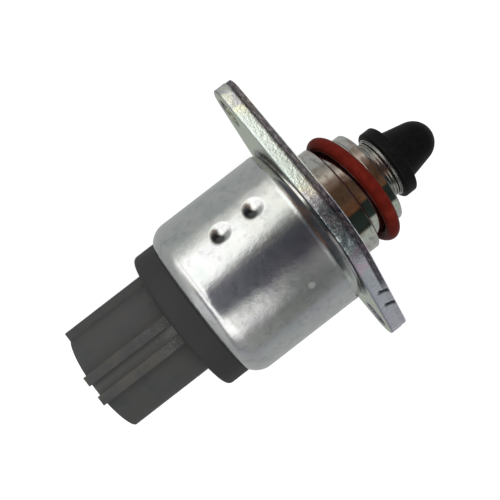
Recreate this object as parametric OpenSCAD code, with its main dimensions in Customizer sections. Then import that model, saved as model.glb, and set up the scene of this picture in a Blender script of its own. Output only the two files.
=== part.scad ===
// Idle air control valve: a stepper motor in a drawn steel can turns a threaded rotor,
// which pushes a leadscrew and its black pintle out of a turned nose.
// The valve axis is X with the pintle at +X, and the origin is on that axis
// in the front face of the two-hole mounting flange, whose long axis is Y.

/* [Flange] */
// Thickness of the stamped flange
flange_t = 3.9; // [2.5:0.1:6]
// Distance between the two bolt holes
hole_pitch = 50.4; // [44:0.2:60]
// How far the pair of holes sits off the valve axis, so that it fits only one way
hole_shift = 1.2; // [0:0.1:2]
// Diameter of each bolt hole
hole_d = 6.0; // [4:0.1:7.4]
// Radius of the lobe round each bolt hole
lobe_r = 5.0; // [4.2:0.1:7]
// How far the flange's round middle stays inside the can's outer radius
waist_inset = 0.6; // [0:0.1:2]
// Length of edge that the press broke away, at the front
torn_edge = 1.3; // [0.4:0.1:2]
// How far the broken edge lies behind the sheared edge
torn_set = 0.12; // [0.05:0.01:0.3]

/* [Motor can] */
// Outer diameter of the drawn can
can_od = 35; // [30:0.5:42]
// Wall of the can
can_wall = 1.2; // [0.8:0.1:1.6]
// Bend radius of the rear shoulder, outside
shoulder_r = 4.75; // [3.8:0.05:6]
// Angle through which the rear shoulder is rolled over the cap
shoulder_angle = 57; // [46:1:68]
// Gap between the can's front rim and the flange
rim_gap = 0.6; // [0.3:0.1:1.5]
// Length over which the front rim is rolled inwards
rim_roll = 2.4; // [1.5:0.1:3.5]
// Radius of that roll
rim_roll_r = 6; // [4.5:0.5:12]
// Mouth diameter of the two stakes punched over the coils
stake_d = 3.9; // [2.5:0.1:4.5]
// Floor diameter of a stake
stake_floor_d = 2.0; // [1:0.1:2.4]
// Depth of a stake
stake_depth = 0.7; // [0.3:0.1:0.9]
// Turn of the row of stakes from +Z towards +Y
stake_clock = 42; // [0:1:90]

/* [Nose] */
// Diameter of the land that pilots the valve in its bore
spigot_d = 24.0; // [21:0.1:28]
// Straight length of that land, from the flange face
spigot_l = 2.6; // [1.5:0.1:4]
// Width of the relief groove behind the land, inside the flange
relief_w = 0.6; // [0.3:0.1:1.2]
// Depth of that groove
relief_d = 0.4; // [0.2:0.05:1]
// Length of the lead-in taper in front of the land
lead_in_l = 1.6; // [0.8:0.1:3]
// Drop in radius over the lead-in
lead_in_drop = 0.35; // [0.1:0.05:0.8]
// Diameter of the seat that the O-ring lies on
seat_d = 19.5; // [17:0.1:22]
// Length of that seat
seat_l = 5.3; // [4.9:0.1:8]
// Height of the front land over the seat
land_lip = 0.25; // [0.1:0.05:0.8]
// Length of the front land
land_l = 1.5; // [1:0.1:3]
// Length of the neck in front of the land
neck_l = 2.7; // [1.5:0.1:5]
// Wall of the neck
neck_wall = 1.2; // [0.6:0.1:2]
// Thickness of the motor's end plate behind the flange
base_t = 4.35; // [4.2:0.05:6]

/* [O-ring] */
// Diameter of the O-ring's section
ring_section = 2.54; // [1.5:0.02:3]
// Slack between the O-ring and its seat
ring_slack = 0.34; // [0.3:0.02:0.6]
// Gap left between the leaning O-ring and the land behind it
ring_back_gap = 0.06; // [0.02:0.01:0.3]
// Lean of the O-ring, as it sits on the part
ring_lean = 5.7; // [0:0.1:7]
// Side to which it leans forward, from +Z towards -Y
ring_lean_clock = 20; // [0:1:90]

/* [Motor] */
// Length of one coil bobbin
coil_l = 5.25; // [4.4:0.05:8]
// Thickness of a pole plate
pole_t = 0.9; // [0.6:0.05:1.2]
// Number of claw poles on one plate
poles = 6; // [4:1:8]
// Outer diameter of the rotor magnet
magnet_d = 12; // [10:0.1:14]
// Air gap between the magnet and the claw poles
air_gap = 0.3; // [0.2:0.05:0.5]
// Thickness of a claw pole
claw_t = 0.8; // [0.5:0.05:1.2]
// Wall of a bobbin's barrel and flanges
bobbin_wall = 0.7; // [0.4:0.05:0.9]
// Outer diameter of the front bearing
front_od = 14; // [12:0.1:17]
// Bore of the front bearing
front_id = 8; // [7:0.1:9.4]
// Width of the front bearing
front_w = 4.0; // [3:0.1:4.2]
// Number of balls in the front bearing
front_balls_n = 10; // [8:1:12]
// Step of the rotor hub over its front journal
hub_step = 0.4; // [0.2:0.05:0.5]
// Outer diameter of the rear bearing
rear_od = 8; // [7:0.1:9.4]
// Bore of the rear bearing
rear_id = 3; // [2.4:0.1:3.6]
// Width of the rear bearing
rear_w = 3.0; // [2:0.1:3.6]
// Number of balls in the rear bearing
rear_balls_n = 7; // [6:1:8]
// Distance from the hub's end to the rear bearing
stub_shoulder_l = 1.6; // [1:0.1:2.2]
// Thickness of the dished washer that loads the bearings
washer_t = 0.2; // [0.1:0.01:0.24]
// Height of the dished washer's room
washer_h = 0.45; // [0.36:0.01:0.8]

/* [Screw and pintle] */
// Diameter of the leadscrew
screw_d = 5; // [4:0.1:5.9]
// Distance across the screw's two flats
screw_flats = 4.1; // [3.3:0.1:4.8]
// Travel of the pintle
travel = 8; // [5:0.5:9]
// Length of thread in the rotor
nut_l = 6; // [4.5:0.1:7]
// Length of thread still engaged when the pintle is fully out
nut_grip = 3.5; // [2.5:0.1:4.4]
// Outer diameter of the guide bush
bush_d = 10; // [8.4:0.1:11.6]
// Length of the guide bush
bush_l = 8; // [6:0.1:9]
// Thickness of the felt wiper in front of the bush
wiper_t = 2.2; // [1:0.1:2.8]
// How far the wiper lies inside the neck's mouth
wiper_set = 0.7; // [0.3:0.1:1.5]
// Diameter of the pintle's collar
collar_d = 15.15; // [14.4:0.05:18]
// Thickness of the collar
collar_t = 2.6; // [2:0.1:4]
// Radius of the pintle's round tip
tip_r = 4.3; // [3.6:0.05:5]
// Half angle of the pintle's taper
taper = 12; // [6:0.5:15]
// Length of the pintle from the back of its collar to its tip
pintle_l = 11.95; // [10.5:0.05:15]
// Diameter of the screw's end inside the pintle
stem_d = 4; // [3.2:0.1:4.8]
// Diameter of the steel washer behind the collar
backing_d = 14; // [12:0.1:15]
// Thickness of that washer
backing_t = 0.4; // [0.2:0.05:0.6]
// Gap between the neck and the washer when the pintle is home
home_gap = 0.35; // [0.3:0.05:0.6]

/* [Connector cap] */
// Length of the cap's skirt in the straight part of the can
skirt_l = 4.35; // [3.6:0.05:7]
// Wall of that skirt
skirt_wall = 1.8; // [1.3:0.1:2.4]
// How far the cap's visible disc stands proud of the can's rolled lip
disc_proud = 0.22; // [0:0.02:0.5]
// Length of the visible disc
disc_l = 4.8; // [3:0.1:7]
// Rounding of the disc's rear edge
disc_round = 0.95; // [0.4:0.05:1.5]
// Thickness of the wall between the motor and the disc
bulkhead_t = 2.3; // [2:0.1:3.5]
// Wall of the boss round the rear bearing
boss_wall = 1.4; // [0.8:0.1:2]
// Section of the seal between the cap and the can
seal_section = 1.15; // [0.9:0.05:1.4]
// Width of the seal's groove
seal_width = 1.5; // [1.42:0.02:2]
// Width of the connector shroud
shroud_w = 21.2; // [18:0.2:25]
// Height of the connector shroud
shroud_h = 17.0; // [14.4:0.2:20]
// Wall of the shroud
shroud_wall = 1.6; // [1.2:0.1:2]
// Length of the shroud behind the disc
shroud_l = 19.2; // [16:0.1:24]
// Depth of the socket
socket_l = 16.6; // [13.6:0.1:19]
// Turn of the connector from +Z towards +Y
connector_clock = 14; // [0:1:90]
// Height of the rail on the shroud's side
rail_h = 1.4; // [0.6:0.1:3]
// Width of that rail
rail_w = 5.0; // [3:0.1:8]
// Width of each of the two ribs on top
rib_w = 2.0; // [1:0.1:3]
// Gap between the two ribs
rib_gap = 2.4; // [1.6:0.1:4]
// Height of the ribs over the shroud
rib_h = 1.7; // [0.8:0.1:2.5]
// How far the ribs stand out past the mouth
rib_over = 0.3; // [0:0.05:1]
// Length of the latch ramp between the ribs
latch_l = 2.9; // [2:0.1:5]
// Distance from the disc to the latch ramp
latch_off = 1.4; // [0.5:0.1:3]

/* [Terminals] */
// Side of a terminal's square section
pin_w = 0.8; // [0.5:0.05:1]
// Spacing of the terminals across the socket
pin_pitch = 4.0; // [3:0.1:4.6]
// Distance between the two rows
pin_row = 4.0; // [3:0.1:5]
// How far the terminals stand out of the socket's floor
pin_out = 9; // [6:0.1:11]
// How far their tails reach into the motor
pin_tail = 3.4; // [2:0.1:4]

/* [Fits] */
// Play between pieces that are clamped or moulded together
seat_gap = 0.05; // [0.02:0.01:0.1]
// Radial clearance of a running or sliding fit
run_gap = 0.05; // [0.02:0.01:0.09]
// Clearance round a turning part that must not rub
free_gap = 0.3; // [0.3:0.05:0.5]

/* [Hidden] */
$fn = 96;
// A length that reaches through any piece
far = 100;

// Places along the axis, from the flange face backwards
flange_back = -flange_t;
base_front = flange_back - seat_gap;
base_back = base_front - base_t;
rim_x = flange_back - rim_gap;
plate_step = pole_t + seat_gap;
plate_1_x = base_back - seat_gap;
bobbin_1_x = plate_1_x - plate_step;
plate_2_x = bobbin_1_x - coil_l - seat_gap;
plate_3_x = plate_2_x - plate_step;
bobbin_2_x = plate_3_x - plate_step;
plate_4_x = bobbin_2_x - coil_l - seat_gap;
skirt_front = plate_4_x - plate_step;
shoulder_x = skirt_front - skirt_l;
lip_x = shoulder_x - shoulder_r * sin(shoulder_angle);
disc_front = lip_x - seat_gap;
disc_back = disc_front - disc_l;
bulkhead_x = disc_front + bulkhead_t;
mouth_x = disc_back - shroud_l;
floor_x = mouth_x + socket_l;

// Radii of the can and of what it holds
can_r = can_od / 2;
can_ir = can_r - can_wall;
bend_r = can_r - shoulder_r;
lip_r = bend_r + shoulder_r * cos(shoulder_angle);
disc_r = lip_r + disc_proud;
inner_r = can_ir - 2 * seat_gap;
skirt_ir = inner_r - skirt_wall;
seal_x = (skirt_front + shoulder_x) / 2;
seal_floor = can_ir - seal_section - seat_gap;
magnet_r = magnet_d / 2;
claw_ir = magnet_r + air_gap;
claw_or = claw_ir + claw_t;
barrel_r = claw_or + 3 * seat_gap;
barrel_or = barrel_r + bobbin_wall;
bobbin_r = can_ir - stake_depth;
winding_r = bobbin_r - bobbin_wall;
claw_l = coil_l - free_gap;
// Half a claw's width at its root and at its tip, where a claw and a gap alternate evenly
claw_pitch = PI * (claw_ir + claw_or) / poles / 2;
claw_root = 0.43 * claw_pitch;
claw_tip = 0.25 * claw_pitch;

// The nose, from the flange face forwards
spigot_r = spigot_d / 2;
seat_x = spigot_l + lead_in_l;
seat_r = seat_d / 2;
land_x = seat_x + seat_l;
land_r = seat_r + land_lip;
neck_x = land_x + land_l;
neck_end = neck_x + neck_l;
bush_r = bush_d / 2;
neck_r = bush_r + neck_wall;
wiper_front = neck_end - wiper_set;
bush_front = wiper_front - wiper_t - seat_gap;
bush_back = bush_front - bush_l;
ring_r = seat_r + ring_slack + ring_section / 2;
ring_x = seat_x + ring_back_gap + ring_section / 2 + ring_r * sin(ring_lean);

// Shares of a ball bearing's section: a ring, a ball's radius, half the cage and the front step
ring_share = 0.3;
ball_share = 0.27;
cage_share = 0.13;
step_share = 0.2;
// The cage's width as a share of the bearing's
cage_width_share = 0.7;

// The rotor, its screw and its two bearings, with the pintle home
// How far the front bearing is set into the end plate
bearing_set = 0.15;
front_x = base_back + bearing_set + front_w;
front_step_r = front_od / 2 - step_share * (front_od - front_id) / 2;
magnet_front = bobbin_1_x + seat_gap;
magnet_back = plate_4_x + free_gap;
nut_back = magnet_front - nut_l;
screw_r = screw_d / 2;
screw_clear = screw_r + free_gap;
screw_front = neck_end + home_gap;
screw_back = magnet_front - nut_grip - travel;
flats_back = bush_back - travel - 2 * free_gap;
// Wall behind the hub's blind bore
hub_wall = 0.9;
hub_bore_end = screw_back - 2 * free_gap;
hub_end = min(magnet_back - free_gap, hub_bore_end - hub_wall);
hub_r = front_id / 2 + hub_step;
journal_r = front_id / 2 - seat_gap;
stub_r = rear_id / 2 - seat_gap;
rear_x = min(skirt_front, hub_end) - stub_shoulder_l;
rear_end = rear_x - rear_w;
rear_step_r = rear_id / 2 + ring_share * (rear_od - rear_id) / 2;
boss_r = rear_od / 2 + boss_wall;
boss_floor = rear_end - washer_h;
tail_z = (boss_r + skirt_ir) / 2;
run_x = bulkhead_x - 1.5 * pin_w;

// The pintle
stem_r = stem_d / 2;
pintle_x = screw_front + backing_t + seat_gap;
collar_x = pintle_x + collar_t;
tip_x = pintle_x + pintle_l;
// How much of the round tip is cut flat
tip_flat = 0.1;
tip_centre = tip_x + tip_flat - tip_r;

// Turns a shape drawn as radius and place into a piece round the valve axis
module turned() {
    rotate([0, 90, 0]) rotate_extrude() children();
}

// A round bar along the axis, from one place forward to another
module bar(from, to, r) {
    translate([from, 0, 0]) rotate([0, 90, 0]) cylinder(h = to - from, r = r);
}

// A sleeve along the axis
module sleeve(from, to, outer, inner) {
    difference() {
        bar(from, to, outer);
        bar(from - 1, to + 1, inner);
    }
}

// A rectangle between two radii and two places, for turned()
module band(r1, r2, from, to) {
    translate([r1, from]) square([r2 - r1, to - from]);
}

// The flange's outline: a round middle and two lobes, joined by their tangents
module flange_outline(inset) {
    waist = can_r - waist_inset - inset;
    lobe = lobe_r - inset;
    circle(r = waist);
    for (side = [1, -1]) {
        centre = hole_pitch / 2 + side * hole_shift;
        up = (waist - lobe) / centre;
        out = sqrt(1 - up * up);
        translate([0, side * centre]) circle(r = lobe);
        polygon([[waist * out, side * waist * up],
                 [lobe * out, side * (centre + lobe * up)],
                 [-lobe * out, side * (centre + lobe * up)],
                 [-waist * out, side * waist * up]]);
    }
}

// The flange is stamped: sheared at the back of its edge, and torn at the front
module flange_plate() {
    color([0.78, 0.82, 0.76]) difference() {
        translate([flange_back, 0, 0]) rotate([0, 90, 0]) {
            linear_extrude(flange_t - torn_edge) flange_outline(0);
            linear_extrude(flange_t) flange_outline(torn_set);
        }
        bar(-far, far, spigot_r + seat_gap);
        for (side = [1, -1]) {
            translate([0, side * hole_pitch / 2 + hole_shift, 0]) bar(-far, far, hole_d / 2);
        }
    }
}

// The can's wall: a straight tube, a front rim rolled in and a rear shoulder
module can_section() {
    band(can_ir, can_r, shoulder_x, rim_x - rim_roll);
    intersection() {
        band(can_ir, can_r, rim_x - rim_roll, rim_x);
        translate([can_r - rim_roll_r, rim_x - rim_roll]) circle(r = rim_roll_r);
    }
    translate([bend_r, shoulder_x]) intersection() {
        difference() {
            circle(r = shoulder_r);
            circle(r = shoulder_r - can_wall);
        }
        polygon([[0, 0], [far, 0], [far, -far],
                 [far * cos(shoulder_angle), -far * sin(shoulder_angle)]]);
    }
}

// The tool that punches a stake into the can over a coil, grown by the wall it pushes
module stake(bobbin_x, grow) {
    over = 0.3;
    slope = (stake_d - stake_floor_d) / 2 / stake_depth;
    rotate([-stake_clock, 0, 0]) translate([bobbin_x - coil_l / 2, 0, can_r - stake_depth - grow])
        cylinder(h = stake_depth + grow + over,
                 r1 = stake_floor_d / 2 + grow,
                 r2 = stake_d / 2 + grow + over * slope);
}

module motor_can() {
    pushed_wall = 0.7 * can_wall;
    color([0.72, 0.73, 0.74]) difference() {
        union() {
            turned() can_section();
            intersection() {
                for (x = [bobbin_1_x, bobbin_2_x]) stake(x, pushed_wall);
                bar(shoulder_x, rim_x - rim_roll, can_r - can_wall / 2);
            }
        }
        for (x = [bobbin_1_x, bobbin_2_x]) stake(x, 0);
    }
}

// The nose and the motor's front end plate are turned from one bar, which fills the
// flange's bore up to a relief groove behind the land
module nose_housing() {
    edge = 0.25;
    color([0.62, 0.58, 0.55]) difference() {
        turned() {
            band(0, inner_r, base_back, base_front);
            band(0, spigot_r, base_front, -relief_w);
            band(0, spigot_r - relief_d, -relief_w, 0);
            band(0, spigot_r, 0, spigot_l);
            polygon([[0, spigot_l], [spigot_r, spigot_l],
                     [spigot_r - lead_in_drop, seat_x], [0, seat_x]]);
            band(0, seat_r, seat_x, land_x);
            polygon([[0, land_x], [land_r, land_x], [land_r, neck_x - edge],
                     [land_r - edge, neck_x], [0, neck_x]]);
            polygon([[0, neck_x], [neck_r, neck_x], [neck_r, neck_end - edge],
                     [neck_r - edge, neck_end], [0, neck_end]]);
        }
        bar(base_back - 1, front_x, front_od / 2 + seat_gap);
        bar(base_back - 1, front_x + 1, front_step_r);
        bar(base_back - 1, neck_end + 1, screw_clear);
        bar(bush_back, neck_end + 1, bush_r);
    }
}

// The O-ring leans a little on its seat, as a used one does
module o_ring() {
    color([0.5, 0.12, 0.09]) translate([ring_x, 0, 0])
        rotate([ring_lean_clock, 0, 0]) rotate([0, ring_lean, 0])
        turned() translate([ring_r, 0]) circle(r = ring_section / 2);
}

// The shroud's outline: two flat arcs and two round ends, all tangent to each other
module oval(inset) {
    roundness = 0.77;
    a = shroud_w / 2;
    b = shroud_h / 2;
    end_r = roundness * b;
    end_y = a - end_r;
    flat_r = (b * b + end_y * end_y - end_r * end_r) / (2 * (b - end_r));
    meet_y = flat_r * end_y / (flat_r - end_r);
    for (side = [1, -1]) translate([0, side * end_y]) circle(r = end_r - inset);
    intersection() {
        translate([flat_r - b, 0]) circle(r = flat_r - inset);
        translate([b - flat_r, 0]) circle(r = flat_r - inset);
        square([2 * b, 2 * meet_y - 2 * inset * end_y / (flat_r - end_r)], center = true);
    }
}

// Places a shape in the connector's own frame, which is turned about the axis
module connector_frame() {
    rotate([-connector_clock, 0, 0]) children();
}

// An oval prism along the axis
module oval_bar(from, to, inset) {
    translate([from, 0, 0]) rotate([0, 90, 0]) linear_extrude(to - from) oval(inset);
}

// The cap's turned form: a skirt in the can, a neck under the rolled lip and the disc
module cap_section() {
    lip_play = 0.8;
    neck_drop = shoulder_x - disc_front;
    band(0, inner_r, shoulder_x, skirt_front);
    intersection() {
        translate([bend_r, shoulder_x]) circle(r = shoulder_r - can_wall - 2 * seat_gap);
        band(bend_r - 1, can_r, disc_front, shoulder_x + 1);
    }
    polygon([[0, shoulder_x], [bend_r, shoulder_x],
             [bend_r + neck_drop / tan(shoulder_angle + lip_play), disc_front],
             [0, disc_front]]);
    band(0, disc_r, disc_back + disc_round, disc_front);
    band(0, disc_r - disc_round, disc_back, disc_front);
    translate([disc_r - disc_round, disc_back + disc_round]) circle(r = disc_round);
}

// The rail, the ribs and the latch ramp that guide and hold the plug
module plug_guides() {
    a = shroud_w / 2;
    b = shroud_h / 2;
    latch_x = disc_back - latch_off;
    latch_h = 0.8 * rib_h;
    root = 0.6 * shroud_wall;
    translate([mouth_x, a - root, -rail_w / 2]) cube([shroud_l, root + rail_h, rail_w]);
    for (side = [0, 1]) mirror([0, side, 0])
        translate([mouth_x - rib_over, rib_gap / 2, b - root])
            cube([shroud_l + rib_over, rib_w, root + rib_h]);
    translate([0, rib_gap / 2 + root, 0]) rotate([90, 0, 0]) linear_extrude(rib_gap + 2 * root)
        polygon([[latch_x - latch_l, b - root], [latch_x - latch_l, b],
                 [latch_x, b + latch_h], [latch_x, b - root]]);
}

module connector_cap() {
    color([0.25, 0.25, 0.24]) difference() {
        union() {
            difference() {
                turned() cap_section();
                bar(bulkhead_x, skirt_front + 1, skirt_ir);
            }
            bar(bulkhead_x - 1, rear_x + 2 * seat_gap, boss_r);
            connector_frame() {
                oval_bar(mouth_x, disc_back + 1, 0);
                plug_guides();
            }
        }
        sleeve(seal_x - seal_width / 2, seal_x + seal_width / 2, can_r, seal_floor);
        bar(boss_floor, skirt_front + 1, rear_od / 2 + seat_gap);
        connector_frame() oval_bar(mouth_x - 1, floor_x, shroud_wall);
        for (k = [1:6]) terminal_path(k, seat_gap);
    }
}

// The seal between the cap's skirt and the can
module cap_seal() {
    color([0.06, 0.06, 0.06]) translate([seal_x, 0, 0])
        turned() translate([can_ir - seat_gap / 2 - seal_section / 2, 0]) circle(r = seal_section / 2);
}

// A terminal's place: three across in each of two rows
module terminal_place(k) {
    connector_frame() mirror([0, 0, k > 3 ? 1 : 0])
        translate([0, ((k - 1) % 3 - 1) * pin_pitch, 0]) children();
}

// The room that a bent terminal takes in the cap
module terminal_path(k, grow) {
    w = pin_w + 2 * grow;
    terminal_place(k) {
        translate([floor_x - pin_out, -w / 2, pin_row / 2 - w / 2])
            cube([run_x + w / 2 - floor_x + pin_out, w, w]);
        translate([run_x - w / 2, -w / 2, pin_row / 2]) cube([w, w, tail_z - pin_row / 2 + w / 2]);
        translate([run_x, -w / 2, tail_z - w / 2]) cube([bulkhead_x + pin_tail - run_x, w, w]);
    }
}

// A square terminal with a pointed blade, bent twice inside the cap
module terminal(k) {
    tip = floor_x - pin_out;
    point = [[tip, -pin_w / 5], [tip + pin_w, -pin_w / 2], [far, -pin_w / 2],
             [far, pin_w / 2], [tip + pin_w, pin_w / 2], [tip, pin_w / 5]];
    color([0.75, 0.68, 0.45]) intersection() {
        terminal_path(k, 0);
        terminal_place(k) {
            translate([0, 0, pin_row / 2 - far / 2]) linear_extrude(far) polygon(point);
        }
    }
}

module terminal_pin_1() { terminal(1); }
module terminal_pin_2() { terminal(2); }
module terminal_pin_3() { terminal(3); }
module terminal_pin_4() { terminal(4); }
module terminal_pin_5() { terminal(5); }
module terminal_pin_6() { terminal(6); }

// A moulded spool that lies between two pole plates
module bobbin(front) {
    back = front - coil_l;
    color([0.9, 0.88, 0.8]) turned() {
        band(barrel_r, barrel_or, back, front);
        band(barrel_r, bobbin_r, front - bobbin_wall, front);
        band(barrel_r, bobbin_r, back, back + bobbin_wall);
    }
}

// The wire on a spool, as one ring
module winding(front) {
    color([0.72, 0.38, 0.18])
        sleeve(front - coil_l + bobbin_wall + seat_gap, front - bobbin_wall - seat_gap,
               winding_r, barrel_or + seat_gap);
}

module front_bobbin() { bobbin(bobbin_1_x); }
module rear_bobbin() { bobbin(bobbin_2_x); }
module front_winding() { winding(bobbin_1_x); }
module rear_winding() { winding(bobbin_2_x); }

// A pole plate: a disc with tapered claws bent over to lie between those of its partner
module pole_plate(front, forward, turn) {
    inside = pole_t / 2;
    claw = [[inside, -claw_root], [0, -claw_root], [-claw_l, -claw_tip],
            [-claw_l, claw_tip], [0, claw_root], [inside, claw_root]];
    color([0.55, 0.56, 0.58])
        translate([forward ? front : front - pole_t, 0, 0])
        rotate([turn, 0, 0]) mirror([forward ? 1 : 0, 0, 0]) {
            sleeve(0, pole_t, inner_r, claw_ir);
            intersection() {
                sleeve(-claw_l, inside, claw_or, claw_ir);
                for (k = [1:poles]) rotate([k * 360 / poles, 0, 0])
                    linear_extrude(far) polygon(claw);
            }
        }
}

module pole_plate_1() { pole_plate(plate_1_x, false, 0); }
module pole_plate_2() { pole_plate(plate_2_x, true, 180 / poles); }
module pole_plate_3() { pole_plate(plate_3_x, false, 90 / poles); }
module pole_plate_4() { pole_plate(plate_4_x, true, 270 / poles); }

module rotor_magnet() {
    color([0.2, 0.2, 0.22]) sleeve(magnet_back, magnet_front, magnet_r, hub_r + seat_gap);
}

// The hub carries the magnet, runs in both bearings and is threaded for the screw
module rotor_hub() {
    journal_back = front_x - front_w;
    color([0.8, 0.78, 0.7]) difference() {
        union() {
            bar(journal_back, front_x, journal_r);
            bar(hub_end, journal_back, hub_r);
            bar(rear_x, hub_end, rear_step_r);
            bar(rear_end, rear_x, stub_r);
        }
        bar(magnet_front, front_x + 1, screw_clear);
        bar(nut_back, magnet_front, screw_r + run_gap);
        bar(hub_bore_end, nut_back, screw_clear);
    }
}

// The two rings of a ball bearing, with the groove that its balls run in
module outer_race(front, width, od, id) {
    section = (od - id) / 2;
    color([0.7, 0.7, 0.72]) turned() difference() {
        band(od / 2 - ring_share * section, od / 2, front - width, front);
        translate([(od + id) / 4, front - width / 2]) circle(r = ball_share * section + run_gap);
    }
}

module inner_race(front, width, od, id) {
    section = (od - id) / 2;
    color([0.7, 0.7, 0.72]) turned() difference() {
        band(id / 2, id / 2 + ring_share * section, front - width, front);
        translate([(od + id) / 4, front - width / 2]) circle(r = ball_share * section + run_gap);
    }
}

// The balls in their cage
module caged_balls(front, width, od, id, n) {
    section = (od - id) / 2;
    mean = (od + id) / 4;
    middle = front - width / 2;
    cage_w = cage_width_share * width;
    color([0.85, 0.85, 0.86]) {
        sleeve(middle - cage_w / 2, middle + cage_w / 2,
               mean + cage_share * section, mean - cage_share * section);
        for (k = [1:n]) rotate([k * 360 / n, 0, 0])
            translate([middle, 0, mean]) sphere(r = ball_share * section, $fn = 32);
    }
}

module front_outer_race() { outer_race(front_x, front_w, front_od, front_id); }
module front_inner_race() { inner_race(front_x, front_w, front_od, front_id); }
module front_balls() { caged_balls(front_x, front_w, front_od, front_id, front_balls_n); }
module rear_outer_race() { outer_race(rear_x, rear_w, rear_od, rear_id); }
module rear_inner_race() { inner_race(rear_x, rear_w, rear_od, rear_id); }
module rear_balls() { caged_balls(rear_x, rear_w, rear_od, rear_id, rear_balls_n); }

// The dished washer presses the rear bearing's outer race forward
module dished_washer() {
    inner = rear_id / 2 + 2 * free_gap;
    outer = rear_od / 2 - seat_gap;
    low = boss_floor + seat_gap / 2;
    high = rear_end - seat_gap / 2;
    color([0.6, 0.62, 0.66]) turned()
        polygon([[inner, low], [inner, low + washer_t], [outer, high], [outer, high - washer_t]]);
}

// A round hole or shaft with two flats
module two_flats(from, to, r, flats) {
    intersection() {
        bar(from, to, r);
        translate([from, -r, -flats / 2]) cube([to - from, 2 * r, flats]);
    }
}

module guide_bush() {
    color([0.75, 0.6, 0.3]) difference() {
        bar(bush_back, bush_front, bush_r - seat_gap);
        two_flats(bush_back - 1, bush_front + 1, screw_r + run_gap, screw_flats + 2 * run_gap);
    }
}

module felt_wiper() {
    color([0.7, 0.68, 0.62])
        sleeve(wiper_front - wiper_t, wiper_front, bush_r - seat_gap, screw_clear);
}

// The screw: a threaded tail, two flats that stop it turning and a stem for the pintle
module leadscrew() {
    color([0.6, 0.6, 0.62]) {
        bar(screw_back, flats_back, screw_r);
        two_flats(flats_back, screw_front, screw_r, screw_flats);
        bar(screw_front, tip_centre, stem_r);
    }
}

module backing_washer() {
    color([0.8, 0.8, 0.8])
        sleeve(screw_front, screw_front + backing_t, backing_d / 2, stem_r + seat_gap);
}

module pintle() {
    collar_r = collar_d / 2;
    edge = 0.35;
    tangent_x = tip_centre + tip_r * sin(taper);
    tangent_r = tip_r * cos(taper);
    root_r = tangent_r + (tangent_x - collar_x) * tan(taper);
    color([0.07, 0.07, 0.07]) difference() {
        turned() {
            band(0, collar_r, pintle_x + edge, collar_x);
            band(0, collar_r - edge, pintle_x, collar_x);
            translate([collar_r - edge, pintle_x + edge]) circle(r = edge);
            polygon([[0, collar_x], [root_r, collar_x], [tangent_r, tangent_x], [0, tangent_x]]);
            intersection() {
                translate([0, tip_centre]) circle(r = tip_r);
                band(0, tip_r, tangent_x, tip_x);
            }
        }
        bar(pintle_x - 1, tip_centre + seat_gap, stem_r + seat_gap);
    }
}

motor_can();
flange_plate();
nose_housing();
o_ring();
connector_cap();
cap_seal();
terminal_pin_1();
terminal_pin_2();
terminal_pin_3();
terminal_pin_4();
terminal_pin_5();
terminal_pin_6();
front_bobbin();
rear_bobbin();
front_winding();
rear_winding();
pole_plate_1();
pole_plate_2();
pole_plate_3();
pole_plate_4();
rotor_magnet();
rotor_hub();
front_outer_race();
front_inner_race();
front_balls();
rear_outer_race();
rear_inner_race();
rear_balls();
dished_washer();
guide_bush();
felt_wiper();
leadscrew();
backing_washer();
pintle();
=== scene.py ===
"""Idle air control valve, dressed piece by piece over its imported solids.

The valve's axis is X with the pintle at +X, the flange's long axis is Y and Z is up. It
lies on its can on a pale table, and sizes below are in millimetres unless they say metres.
"""

import math
import bmesh
import bpy
from mathutils import Matrix, Vector, noise


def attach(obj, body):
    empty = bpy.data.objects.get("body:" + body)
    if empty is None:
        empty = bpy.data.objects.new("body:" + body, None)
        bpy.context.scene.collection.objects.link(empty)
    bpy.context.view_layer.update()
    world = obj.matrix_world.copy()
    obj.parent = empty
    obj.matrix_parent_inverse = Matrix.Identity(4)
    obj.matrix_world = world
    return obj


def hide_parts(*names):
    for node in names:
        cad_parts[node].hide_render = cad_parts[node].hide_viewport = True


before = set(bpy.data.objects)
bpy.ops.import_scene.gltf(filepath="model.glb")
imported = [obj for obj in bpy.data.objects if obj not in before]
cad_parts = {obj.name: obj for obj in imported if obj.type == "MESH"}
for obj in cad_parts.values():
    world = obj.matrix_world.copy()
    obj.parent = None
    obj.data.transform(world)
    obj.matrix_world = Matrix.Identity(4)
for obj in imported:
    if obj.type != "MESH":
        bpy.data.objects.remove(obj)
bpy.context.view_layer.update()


# Motor can
# The can is deep-drawn from steel sheet and bright plated. Its front rim is rolled in a
# little, its rear shoulder is rolled over the connector cap, and two stakes punched into
# its wall hold the coils.
MM = 0.001
AXIS = Vector((1, 0, 0))
WELD = 0.0002
CONNECTOR_AT = 14  # degrees that the connector is turned from the flange


class Path:
    """A line drawn through space by extruding its last vertex, in millimetres."""

    def __init__(self, start, bm=None):
        self.bm = bm or bmesh.new()
        self.first = self.last = self.bm.verts.new(Vector(start) * MM)
        self.verts = [self.first]

    def line(self, to, steps=1):
        begin = self.last.co.copy()
        for k in range(1, steps + 1):
            made = bmesh.ops.extrude_vert_indiv(self.bm, verts=[self.last])
            self.last = made["verts"][0]
            self.last.co = begin.lerp(Vector(to) * MM, k / steps)
            self.verts.append(self.last)
        return self

    def arc(self, centre, degrees, steps, axis=(0, 1, 0)):
        centre = Vector(centre) * MM
        begin = self.last.co.copy()
        for k in range(1, steps + 1):
            made = bmesh.ops.extrude_vert_indiv(self.bm, verts=[self.last])
            self.last = made["verts"][0]
            turn = Matrix.Rotation(math.radians(degrees * k / steps), 3, axis)
            self.last.co = centre + turn @ (begin - centre)
            self.verts.append(self.last)
        return self

    def close(self):
        self.bm.edges.new((self.last, self.first))
        return self


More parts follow.
